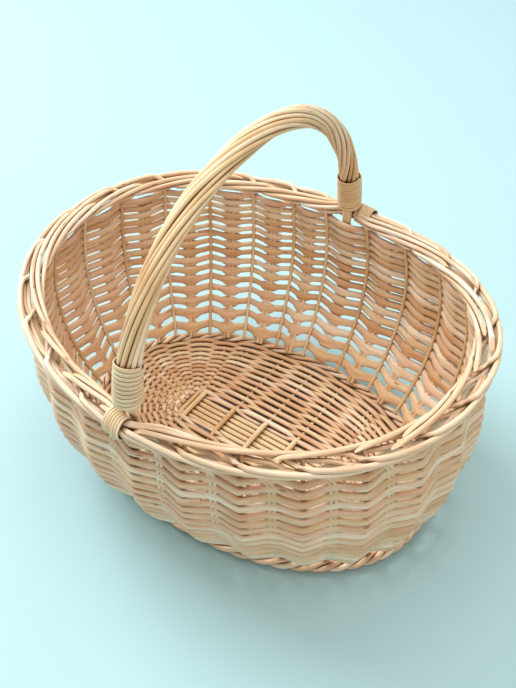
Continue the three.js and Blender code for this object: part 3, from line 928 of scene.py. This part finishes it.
def fan_crossing(row, degrees):
    """Angle on the outline of a row where a rod of the right-hand fan crosses it."""
    half_length, half_width, exponent = base_row(row)
    wanted = math.radians(degrees)
    low, high = -math.pi / 2, math.pi / 2
    halvings = 30
    for _ in range(halvings):
        middle = (low + high) / 2
        p = oval_point(half_length, half_width, middle, exponent)
        if math.atan2(p.y, p.x - FAN_ORIGIN) < wanted:
            low = middle
        else:
            high = middle
    return (low + high) / 2


def base_crossings(row):
    """Angles on the outline of a row where it crosses a stick or a rod, in order."""
    half_length, _, exponent = base_row(row)
    angles = []
    for x in STICK_PLACES:
        cosine = sign(x) * (abs(x) / half_length) ** (exponent / 2)
        angles.append(math.acos(cosine))
        angles.append(2 * math.pi - math.acos(cosine))
    for degrees in FAN_ROD_DEGREES + FAN_SPOKE_DEGREES:
        angle = fan_crossing(row, degrees)
        angles.append(angle % (2 * math.pi))
        angles.append((math.pi - angle) % (2 * math.pi))
    return sorted(angles)


def make_base_weave():
    rng = random.Random(15)
    piece = Piece("base_weaving")
    steps = 8
    unevenness = 0.25 * MM
    for row in range(BASE_ROWS):
        half_length, half_width, exponent = base_row(row)
        crossings = base_crossings(row)
        crossings += [crossings[0] + 2 * math.pi, crossings[1] + 2 * math.pi]
        seed = rng.uniform(0, 50)
        points = []
        for j, (here, following) in enumerate(zip(crossings, crossings[1:])):
            for i in range(steps):
                share = i / steps
                angle = mix(here, following, share)
                p = oval_point(half_length, half_width, angle, exponent)
                wave = math.cos(math.pi * (j + share + row))
                swing = BASE_WEAVE_SWING * sign(wave) * abs(wave) ** 0.5
                p.z = BASE_WEAVE_MIDDLE + swing + unevenness * wander(angle * 2.3, row * 4.1, seed)
                points.append(p)
        piece.sweep(points, 2 * BASE_WEAVER_RADIUS * rng.uniform(0.96, 1.06), rng.random(), sides=8)
    piece.finish(weaving_willow, "weaving_willow", "base_weave")


def fan_point(degrees, end, row):
    angle = fan_crossing(row, degrees)
    half_length, half_width, exponent = base_row(row)
    p = oval_point(half_length, half_width, angle, exponent)
    return Vector((end * p.x, p.y, BASE_WEAVE_MIDDLE))


def make_base_rods():
    """Long rods that lie side by side in the middle and fan out at both ends, and spokes between them."""
    rng = random.Random(16)
    for i, degrees in enumerate(FAN_ROD_DEGREES):
        y = (i - (len(FAN_ROD_DEGREES) - 1) / 2) * LONG_ROD_SPACING
        lying = LONG_ROD_RADIUS + LONG_ROD_LIFT
        middle = [Vector((x * MM, y, lying)) for x in range(-78, 79, 6)]
        right = [fan_point(degrees, 1, row) for row in range(1, FAN_ROWS, 2)]
        left = [fan_point(degrees, -1, row) for row in range(FAN_ROWS - 1, 0, -2)]
        piece = Piece(f"long_rod_{i + 1}")
        piece.sweep(left + middle + right, 2 * LONG_ROD_RADIUS, rng.random())
        piece.finish(stake_willow, "stake_willow", f"base_long_rod_{i + 1}")
    spokes = Piece("base_fan_rods")
    for end in (-1, 1):
        for degrees in FAN_SPOKE_DEGREES:
            points = [fan_point(degrees, end, row) for row in range(FAN_ROWS)]
            spokes.sweep(points, FAN_SPOKE_WIDTH, rng.random())
    spokes.finish(stake_willow, "stake_willow")


def make_cross_sticks():
    """Sticks over the long rods, that dip into the weaving beside them. The end ones are doubled."""
    rng = random.Random(19)
    over_slath = 2 * LONG_ROD_RADIUS + STICK_RADIUS + STICK_GAP
    in_weave = BASE_WEAVE_MIDDLE - STICK_GAP
    dip_start = SLATH_HALF_REACH - 2 * MM
    dip_run = 9 * MM
    steps = 40
    for i, x in enumerate(STICK_PLACES):
        share = (abs(x) / base_reach) ** OVAL_EXPONENT
        half = base_half_reach * (1 - share) ** (1 / OVAL_EXPONENT) - STICK_END_GAP
        piece = Piece(f"cross_stick_{i + 1}")
        shifts = (-DOUBLE_STICK_SPREAD / 2, DOUBLE_STICK_SPREAD / 2) if i in DOUBLE_STICKS else (0.0,)
        for shift in shifts:
            points = []
            widths = []
            width = 2 * STICK_RADIUS * rng.uniform(0.95, 1.04)
            for j in range(steps + 1):
                y = mix(-half, half, j / steps)
                drop = ease((abs(y) - dip_start) / dip_run)
                points.append(Vector((x + shift, y, mix(over_slath, in_weave, drop))))
                widths.append(width * mix(1.0, 0.82, drop))
            piece.sweep(points, widths, rng.random())
        piece.finish(stake_willow, "stake_willow", f"base_cross_stick_{i + 1}")


# Handle

ARCH_STEPS = 160
ACROSS_HANDLE = Vector((1, 0, 0))
arch_points = []
for step in range(ARCH_STEPS + 1):
    arch_angle = step / ARCH_STEPS * math.pi
    arch_cosine = math.cos(arch_angle)
    arch_y = sign(arch_cosine) * ARCH_HALF_WIDTH * abs(arch_cosine) ** (2 / ARCH_EXPONENT)
    arch_z = RIM_HEIGHT + ARCH_RISE * max(math.sin(arch_angle), 0.0) ** (2 / ARCH_EXPONENT)
    if arch_z >= RIM_HEIGHT + (FRONT_WRAP_LIFT if arch_y > 0 else BACK_WRAP_LIFT):
        arch_points.append(Vector((0.0, -arch_y, arch_z)))
arch_steps_along = [0.0]
for first_point, second_point in zip(arch_points, arch_points[1:]):
    arch_steps_along.append(arch_steps_along[-1] + (second_point - first_point).length)
arch_length = arch_steps_along[-1]

# Every fourth rod of the handle is thinner and lies deeper. Seats are in millimetres
SUNK_ROD_EVERY = 4
SUNK_ROD_SIZES = (0.88, 0.95)
SUNK_ROD_SEATS = (-1.0, -0.7)
ROD_SIZES = (1.0, 1.1)
ROD_SEATS = (-0.3, 0.1)
ARCH_DROP = 0.35
SEAT_WANDER = 0.22
TURN_WANDER = 0.12
SIZE_WANDER = 0.04
FOOT_SHARE = 0.07


def arch_place(length):
    """Middle of the handle at a length from its front foot, with the outward direction there."""
    length = min(max(length, 0.0), arch_length)
    i = min(max(bisect_left(arch_steps_along, length), 1), len(arch_points) - 1)
    share = (length - arch_steps_along[i - 1]) / (arch_steps_along[i] - arch_steps_along[i - 1])
    centre = arch_points[i - 1].lerp(arch_points[i], share)
    before = arch_points[max(i - 2, 0)]
    after = arch_points[min(i + 1, len(arch_points) - 1)]
    run = (after - before).normalized()
    return centre, ACROSS_HANDLE.cross(run).normalized()


def make_handle():
    """Rods laid round the bow, side by side, and twisted tighter towards the back."""
    rng = random.Random(17)
    steps = 110
    for rod in range(HANDLE_RODS):
        piece = Piece(f"handle_willow_{rod + 1:02d}")
        points = []
        outwards = []
        widths = []
        seed = rng.uniform(0, 90)
        is_sunk = rod % SUNK_ROD_EVERY == SUNK_ROD_EVERY - 1
        width = 2 * HANDLE_ROD_RADIUS * rng.uniform(*(SUNK_ROD_SIZES if is_sunk else ROD_SIZES))
        seat = rng.uniform(*(SUNK_ROD_SEATS if is_sunk else ROD_SEATS))
        for i in range(steps + 1):
            share = i / steps
            centre, outward = arch_place(share * arch_length)
            twist = HANDLE_TWIST_TURNS * (0.8 * share + 0.2 * share ** 4)
            turn = (rod / HANDLE_RODS - twist) * 2 * math.pi + TURN_WANDER * wander(share * 6, seed)
            at_foot = max(ease(1 - share / FOOT_SHARE), ease(1 - (1 - share) / FOOT_SHARE))
            lift = MM * (seat + SEAT_WANDER * wander(share * 8, seed, 5) - ARCH_DROP * (1 - at_foot))
            away = ACROSS_HANDLE * math.cos(turn) + outward * math.sin(turn)
            points.append(centre + away * (HANDLE_ROD_CIRCLE / 2 + lift))
            outwards.append(away)
            widths.append(width * (1 + SIZE_WANDER * wander(share * 5, seed, 9)))
        piece.sweep(points, widths, rng.random(), outwards=outwards)
        piece.finish(handle_willow, "handle_willow", f"handle_rod_{rod + 1:02d}")


def make_bow():
    """The bow inside the rods, with a leg down inside the first ridge and one in the back valley."""
    foot_level = (LEG_FOOT_HEIGHT - WALL_FOOT) / (wall_top(0) - WALL_FOOT)
    leg_steps = 10
    arch_rings = 60
    bow_tone = 0.35
    rings = []
    for i in range(arch_rings + 1):
        centre, outward = arch_place(i / arch_rings * arch_length)
        rings.append((centre, outward, BOW_WIDTH, BOW_WIDTH))
    for side, offset in ((-1, FRONT_LEG_OFFSET), (1, BACK_LEG_OFFSET)):
        outward = Vector((0, side, 0))
        leg = []
        for j in range(leg_steps + 1):
            level = mix(foot_level, 1.0, j / leg_steps)
            leg.append((wall_point(side * math.pi / 2, level, offset), outward, LEG_WIDTH, LEG_THICKNESS))
        neck = leg[-1][0].copy()
        neck.z = RIM_HEIGHT - NECK_DROP
        leg.append((neck, outward, NECK_WIDTH, NECK_THICKNESS))
        rings = leg + rings if side < 0 else rings + leg[::-1]
    points, outwards, widths, thicknesses = (list(values) for values in zip(*rings))
    piece = Piece("handle_bow_rod")
    piece.sweep(points, widths, bow_tone, outwards=outwards, thickness=thicknesses, sides=12, squareness=0.9)
    piece.finish(handle_willow, "handle_willow", "handle_bow")


# Bindings of split cane

def make_collar(name, side, node, rng):
    """Cane wound turn by turn round the foot of the handle, above the border."""
    piece = Piece(name)
    steps_a_turn = 28
    stub_steps = 10
    unevenness = 0.12 * MM
    points = []
    outwards = []
    for i in range(-stub_steps, COLLAR_TURNS * steps_a_turn + 1):
        turns = i / steps_a_turn
        along = COLLAR_CANE_WIDTH / 2 + turns * COLLAR_PITCH
        centre, outward = arch_place(along if side < 0 else arch_length - along)
        turn = side * turns * 2 * math.pi
        away = ACROSS_HANDLE * math.cos(turn) + outward * math.sin(turn)
        radius = COLLAR_RADIUS + unevenness * wander(turns * 1.7, 3.0 * side)
        points.append(centre + away * radius)
        outwards.append(away)
    piece.sweep(points, COLLAR_CANE_WIDTH, rng.random(), outwards=outwards, thickness=CANE_THICKNESS,
                sides=12, squareness=0.55)
    piece.finish(split_cane, "split_cane", node)


# Path of a lashing strand in the border's section, across and up in millimetres from its nipped middle
LASHING_PATH = (
    (-6.5, -5.0), (-7.6, 0.0), (-6.6, 4.6), (-3.4, 7.9), (0.6, 8.6), (4.4, 6.9),
    (7.2, 3.6), (8.2, -0.4), (7.2, -4.6), (4.0, -7.4), (0.0, -8.3),
)
LASHING_STEPS = 4
LASHING_SPREAD = 1.22


def lashing_place(place):
    """A point of the lashing's path, at a number of its corners from the start, on a smooth curve."""
    last = len(LASHING_PATH) - 1
    j = min(int(place), last - 1)
    a, b, c, d = (Vector(LASHING_PATH[min(max(k, 0), last)]) for k in range(j - 1, j + 3))
    share = place - j
    return 0.5 * (
        2 * b
        + (c - a) * share
        + (2 * a - 5 * b + 4 * c - d) * share ** 2
        + (3 * b - a - 3 * c + d) * share ** 3
    )


def make_lashing(name, side, middle, node, rng):
    """Strands of cane side by side over the border, beside the leg."""
    piece = Piece(name)
    for strand in range(LASHING_STRANDS):
        x = middle + (strand - (LASHING_STRANDS - 1) / 2) * LASHING_PITCH
        along = abs(x / rim_half_length)
        angle = math.atan2(
            side * math.sqrt(max(1 - along ** OVAL_EXPONENT, 0.0)),
            sign(x) * along ** (OVAL_EXPONENT / 2),
        )
        p = oval_point(rim_half_length, rim_half_width, angle)
        nip = nip_at(p.x)
        points = []
        outwards = []
        for i in range((len(LASHING_PATH) - 1) * LASHING_STEPS + 1):
            across_up = lashing_place(i / LASHING_STEPS)
            across = nip * BORDER_NIP_SHIFT + across_up.x * MM * mix(LASHING_SPREAD, 1.0, nip)
            height = rim_top(x) - BORDER_HALF_HEIGHT + across_up.y * MM
            points.append(Vector((x, p.y + side * across, height)))
            outwards.append(Vector((0.0, side * across_up.x, across_up.y)).normalized())
        piece.sweep(points, LASHING_CANE_WIDTH, rng.random(), outwards=outwards, thickness=CANE_THICKNESS,
                    sides=12, squareness=0.5)
    piece.finish(split_cane, "split_cane", node)


def make_bindings():
    rng = random.Random(18)
    make_collar("front_collar_cane", -1, "front_collar_binding", rng)
    make_collar("back_collar_cane", 1, "back_collar_binding", rng)
    make_lashing("front_lashing_cane", -1, FRONT_LASHING_MIDDLE, "front_lashing", rng)
    make_lashing("back_lashing_cane", 1, BACK_LASHING_MIDDLE, "back_lashing", rng)


# Floor, light and camera

LOOKED_AT = Vector((0, 0, 0.1))


def make_floor():
    """A wide table top in matt paint, pale blue green."""
    bm = bmesh.new()
    bmesh.ops.create_grid(bm, x_segments=1, y_segments=1, size=3.0)
    mesh = bpy.data.meshes.new("floor")
    bm.to_mesh(mesh)
    bm.free()
    floor = bpy.data.objects.new("floor", mesh)
    bpy.context.scene.collection.objects.link(floor)
    material = bpy.data.materials.new("pale_table_paint")
    material.use_nodes = True
    shader = material.node_tree.nodes["Principled BSDF"]
    shader.inputs["Base Color"].default_value = linear("#abced3")
    shader.inputs["Roughness"].default_value = 0.8
    mesh.materials.append(material)


def add_area_light(name, place, size, power, colour):
    light = bpy.data.lights.new(name, "AREA")
    light.size = size
    light.energy = power
    light.color = linear(colour)[:3]
    lamp = bpy.data.objects.new(name, light)
    bpy.context.scene.collection.objects.link(lamp)
    lamp.location = place
    lamp.rotation_euler = (LOOKED_AT - Vector(place)).to_track_quat("-Z", "Y").to_euler()


def make_light():
    world = bpy.data.worlds.new("soft_daylight")
    bpy.context.scene.world = world
    world.use_nodes = True
    background = world.node_tree.nodes["Background"]
    background.inputs["Color"].default_value = linear("#f4f7fa")
    background.inputs["Strength"].default_value = 0.6
    add_area_light("window", (-2.2, 0.25, 2.0), size=1.6, power=76, colour="#f5f8fd")
    add_area_light("ceiling", (-0.1, 0.1, 1.8), size=1.5, power=21, colour="#fffaf2")
    add_area_light("room", (1.5, -0.5, 1.3), size=1.6, power=6, colour="#ffdcb4")


def make_camera():
    """The fitted camera: where it stands round the basket, and how far it is shifted sideways and up."""
    azimuth, elevation, roll = 0.616, 0.772, -0.012
    distance = 0.777
    shift_right, shift_up = 0.0038, 0.0199
    right = Vector((math.cos(azimuth), math.sin(azimuth), 0))
    forward = Vector((
        -math.sin(azimuth) * math.cos(elevation),
        math.cos(azimuth) * math.cos(elevation),
        -math.sin(elevation),
    ))
    up = right.cross(forward)
    target = LOOKED_AT + right * shift_right + up * shift_up
    turned_right = right * math.cos(roll) + up * math.sin(roll)
    turned_up = up * math.cos(roll) - right * math.sin(roll)
    camera = bpy.data.cameras.new("camera")
    camera.sensor_fit = "HORIZONTAL"
    camera.sensor_width = 36
    camera.lens = 62.7
    camera.clip_start = 0.01
    holder = bpy.data.objects.new("camera", camera)
    bpy.context.scene.collection.objects.link(holder)
    rotation = Matrix((turned_right, turned_up, -forward)).transposed()
    holder.matrix_world = Matrix.Translation(target - forward * distance) @ rotation.to_4x4()
    bpy.context.scene.camera = holder


make_camera()
make_wall()
make_inner_stakes()
make_pairs_and_border()
make_wale()
make_base_weave()
make_base_rods()
make_cross_sticks()
make_handle()
make_bow()
make_bindings()
make_floor()
make_light()

bpy.context.scene.view_settings.view_transform = "Standard"
